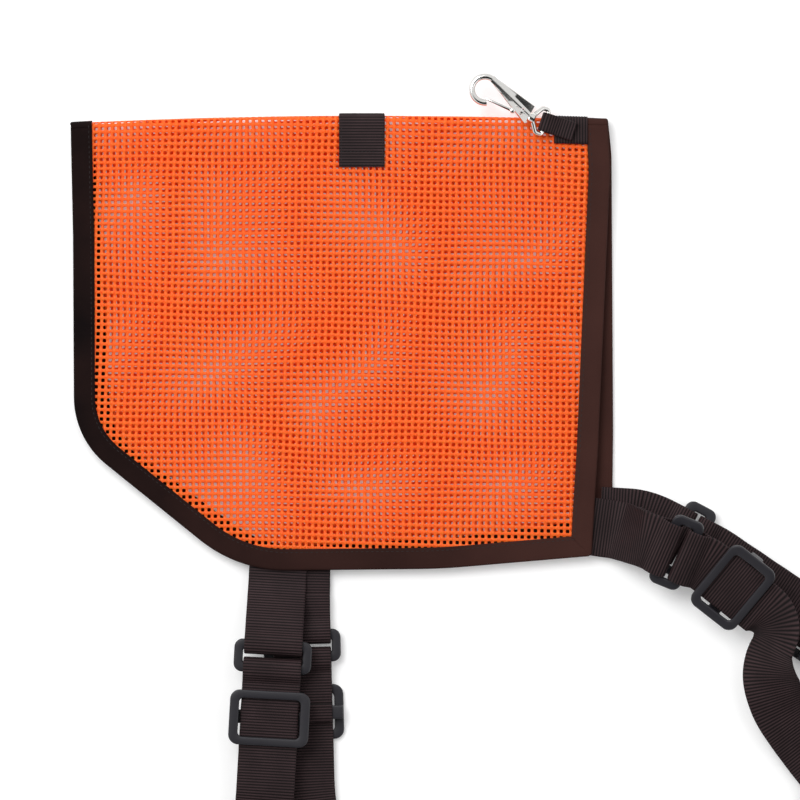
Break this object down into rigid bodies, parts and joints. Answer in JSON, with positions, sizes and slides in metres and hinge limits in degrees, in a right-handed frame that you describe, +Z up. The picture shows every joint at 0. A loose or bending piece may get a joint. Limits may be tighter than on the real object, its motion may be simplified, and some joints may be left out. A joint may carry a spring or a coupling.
{
  "type": "dog hunting vest",
  "caption": "Open mesh cape that folds at the spine over a dog's back, with adjustable belly and chest straps and a snap hook.",
  "frame": {"origin": "under the middle of the folded vest's bounding box, on the surface that it lies on", "axes": "+X from the rear hem to the neck along the spine, +Y from the belly to the spine, +Z up from the far flap to the near flap"},
  "size_m": [0.5786, 0.5812, 0.0408],
  "materials": {
    "orange_mesh": "satin coated open mesh",
    "binding_tape": "matte woven tape",
    "black_webbing": "matte ribbed webbing",
    "black_plastic": "satin moulded plastic",
    "nickel": "bright plated metal"
  },
  "bodies": {
    "root": {"far_mesh_panel": "orange_mesh", "far_binding": "binding_tape", "far_tab": "black_webbing", "far_hook_strap": "black_webbing", "far_belly_anchor_web": "black_webbing", "far_chest_anchor_web": "black_webbing"},
    "near_flap": {"near_mesh_panel": "orange_mesh", "near_binding": "binding_tape", "near_tab": "black_webbing", "near_hook_strap": "black_webbing", "hook_loop": "black_webbing", "near_belly_anchor_web": "black_webbing", "near_chest_anchor_web": "black_webbing"},
    "hook_eye": {"hook_eye": "nickel"},
    "hook_body": {"hook_body": "nickel", "gate_rivet": "nickel"},
    "hook_gate": {"hook_gate": "nickel"},
    "far_belly_ring": {"far_belly_ring": "black_plastic"},
    "far_belly_running_web": {"far_belly_running_web": "black_webbing"},
    "far_belly_tri_glide": {"far_belly_tri_glide": "black_plastic", "far_belly_web_end": "black_webbing"},
    "far_belly_buckle": {"far_belly_buckle": "black_plastic"},
    "near_belly_ring": {"near_belly_ring": "black_plastic"},
    "near_belly_running_web": {"near_belly_running_web": "black_webbing"},
    "near_belly_tri_glide": {"near_belly_tri_glide": "black_plastic", "near_belly_web_end": "black_webbing"},
    "near_belly_buckle": {"near_belly_buckle": "black_plastic"},
    "far_chest_ring": {"far_chest_ring": "black_plastic"},
    "far_chest_running_web": {"far_chest_running_web": "black_webbing"},
    "far_chest_tri_glide": {"far_chest_tri_glide": "black_plastic", "far_chest_web_end": "black_webbing"},
    "far_chest_buckle": {"far_chest_buckle": "black_plastic"},
    "near_chest_ring": {"near_chest_ring": "black_plastic"},
    "near_chest_running_web": {"near_chest_running_web": "black_webbing"},
    "near_chest_tri_glide": {"near_chest_tri_glide": "black_plastic", "near_chest_web_end": "black_webbing"},
    "near_chest_buckle": {"near_chest_buckle": "black_plastic"}
  },
  "joints": [
    {"name": "spine_fold", "type": "hinge", "parent": "root", "child": "near_flap", "pos_m": [-0.28927, 0.26549, 0.00555], "axis": [-1, 0, 0], "range_deg": [0, 180]},
    {"name": "eye_swing", "type": "hinge", "parent": "near_flap", "child": "hook_eye", "pos_m": [0.02373, 0.25864, 0.0147], "axis": [0.309, 0.9511, 0], "range_deg": [0, 100]},
    {"name": "hook_swivel", "type": "hinge", "parent": "hook_eye", "child": "hook_body", "pos_m": [0.01515, 0.26142, 0.01798], "axis": [-0.866, 0.5, 0], "continuous": true},
    {"name": "gate_pivot", "type": "hinge", "parent": "hook_body", "child": "hook_gate", "pos_m": [0.00226, 0.26609, 0.01798], "axis": [0, 0, 1], "range_deg": [-20, 0], "stiffness_Nm_per_rad": 0.02},
    {"name": "far_belly_ring_turn", "type": "hinge", "parent": "root", "child": "far_belly_ring", "pos_m": [-0.13575, -0.0768, 0.00555], "axis": [-0.9997, -0.0262, 0], "range_deg": [-40, 0]},
    {"name": "far_belly_web_turn", "type": "hinge", "parent": "far_belly_ring", "child": "far_belly_running_web", "pos_m": [-0.13535, -0.092, 0.00555], "axis": [-0.9997, -0.0262, 0], "range_deg": [-40, 0]},
    {"name": "far_belly_glide_slide", "type": "slide", "parent": "far_belly_running_web", "child": "far_belly_tri_glide", "axis": [0.0262, -0.9997, 0], "range_m": [-0.008, 0.022]},
    {"name": "far_belly_buckle_turn", "type": "hinge", "parent": "far_belly_running_web", "child": "far_belly_buckle", "pos_m": [-0.11842, -0.24028, 0.00555], "axis": [-0.9511, -0.309, 0], "range_deg": [-40, 40]},
    {"name": "near_belly_ring_turn", "type": "hinge", "parent": "near_flap", "child": "near_belly_ring", "pos_m": [-0.154, -0.08316, 0.01842], "axis": [0.9984, -0.0558, 0], "range_deg": [-40, 0]},
    {"name": "near_belly_web_turn", "type": "hinge", "parent": "near_belly_ring", "child": "near_belly_running_web", "pos_m": [-0.15485, -0.09834, 0.01842], "axis": [0.9984, -0.0558, 0], "range_deg": [-40, 0]},
    {"name": "near_belly_glide_slide", "type": "slide", "parent": "near_belly_running_web", "child": "near_belly_tri_glide", "axis": [-0.0558, -0.9984, 0], "range_m": [-0.005, 0.025]},
    {"name": "near_belly_buckle_turn", "type": "hinge", "parent": "near_belly_running_web", "child": "near_belly_buckle", "pos_m": [-0.17264, -0.24299, 0.00558], "axis": [0.9563, -0.2924, 0], "range_deg": [-40, 40]},
    {"name": "far_chest_ring_turn", "type": "hinge", "parent": "root", "child": "far_chest_ring", "pos_m": [0.10985, -0.01154, 0.00555], "axis": [-0.4695, -0.8829, 0], "range_deg": [-40, 0]},
    {"name": "far_chest_web_turn", "type": "hinge", "parent": "far_chest_ring", "child": "far_chest_running_web", "pos_m": [0.12327, -0.01868, 0.00555], "axis": [-0.4695, -0.8829, 0], "range_deg": [-40, 0]},
    {"name": "far_chest_glide_slide", "type": "slide", "parent": "far_chest_running_web", "child": "far_chest_tri_glide", "axis": [0.829, -0.5592, 0], "range_m": [-0.05, 0.008]},
    {"name": "far_chest_buckle_turn", "type": "hinge", "parent": "far_chest_running_web", "child": "far_chest_buckle", "pos_m": [0.24319, -0.09828, 0.00555], "axis": [-0.5878, -0.809, 0], "range_deg": [-40, 40]},
    {"name": "near_chest_ring_turn", "type": "hinge", "parent": "near_flap", "child": "near_chest_ring", "pos_m": [0.10185, -0.01954, 0.02746], "axis": [0.352, 0.8713, 0.342], "range_deg": [-40, 0]},
    {"name": "near_chest_web_turn", "type": "hinge", "parent": "near_chest_ring", "child": "near_chest_running_web", "pos_m": [0.11594, -0.02523, 0.02746], "axis": [0.352, 0.8713, 0.342], "range_deg": [-40, 0]},
    {"name": "near_chest_glide_slide", "type": "slide", "parent": "near_chest_running_web", "child": "near_chest_tri_glide", "axis": [0.788, -0.6157, 0], "range_m": [-0.003, 0.005]},
    {"name": "near_chest_buckle_turn", "type": "hinge", "parent": "near_chest_running_web", "child": "near_chest_buckle", "pos_m": [0.21131, -0.17009, 0.00582], "axis": [0.766, 0.6428, 0], "range_deg": [-40, 40]}
  ]
}
